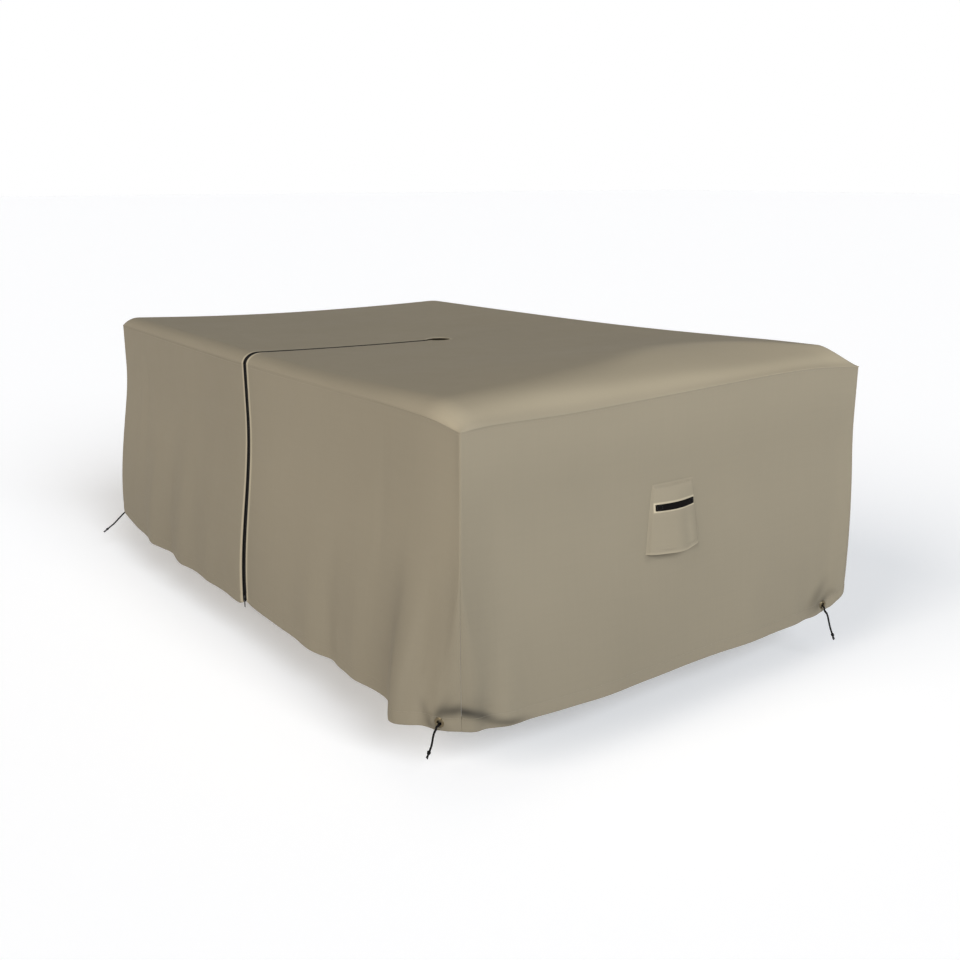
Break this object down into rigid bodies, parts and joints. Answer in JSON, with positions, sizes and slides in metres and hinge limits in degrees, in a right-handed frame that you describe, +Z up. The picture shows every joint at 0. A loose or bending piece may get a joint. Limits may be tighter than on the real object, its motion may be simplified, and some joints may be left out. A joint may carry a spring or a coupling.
{
  "type": "patio furniture cover",
  "caption": "Fitted rectangular outdoor cover with a dished top, zip to an umbrella hole, hooded vent with a strap handle, and knotted drawcord ends at its hem corners",
  "frame": {"origin": "the underside of the top at its middle, where the cover rests on the furniture it covers", "axes": "X runs along the length towards the vented end, Y across the width from the zipped side to the back, Z up"},
  "size_m": [2.358, 1.5612, 0.8905],
  "materials": {
    "cloth": "taupe coated polyester cloth, matt with a faint sheen",
    "webbing": "black woven webbing",
    "zip_coil": "black moulded coil",
    "zip_tape": "black woven tape",
    "slider_metal": "dark plated metal",
    "eyelet_brass": "antique brass, polished and darkened",
    "drawcord": "black braided cord"
  },
  "bodies": {
    "root": {"top_panel": "cloth", "front_panel_left": "cloth", "front_panel_right": "cloth", "near_end_panel": "cloth", "back_panel": "cloth", "far_end_panel": "cloth", "vent_hood": "cloth", "handle_strap": "webbing", "zip_chain": "zip_coil", "zip_tape_left": "zip_tape", "zip_tape_right": "zip_tape", "zip_slider": "slider_metal", "zip_pull": "slider_metal", "eyelet_near_front": "eyelet_brass", "eyelet_near_back": "eyelet_brass", "eyelet_far_back": "eyelet_brass", "eyelet_far_front": "eyelet_brass", "drawcord_near_front_a": "drawcord", "drawcord_near_front_b": "drawcord", "drawcord_near_back_a": "drawcord", "drawcord_near_back_b": "drawcord", "drawcord_far_back_a": "drawcord", "drawcord_far_back_b": "drawcord", "drawcord_far_front_a": "drawcord", "drawcord_far_front_b": "drawcord", "knot_near_front": "drawcord", "knot_near_back": "drawcord", "knot_far_back": "drawcord", "knot_far_front": "drawcord"}
  },
  "joints": []
}
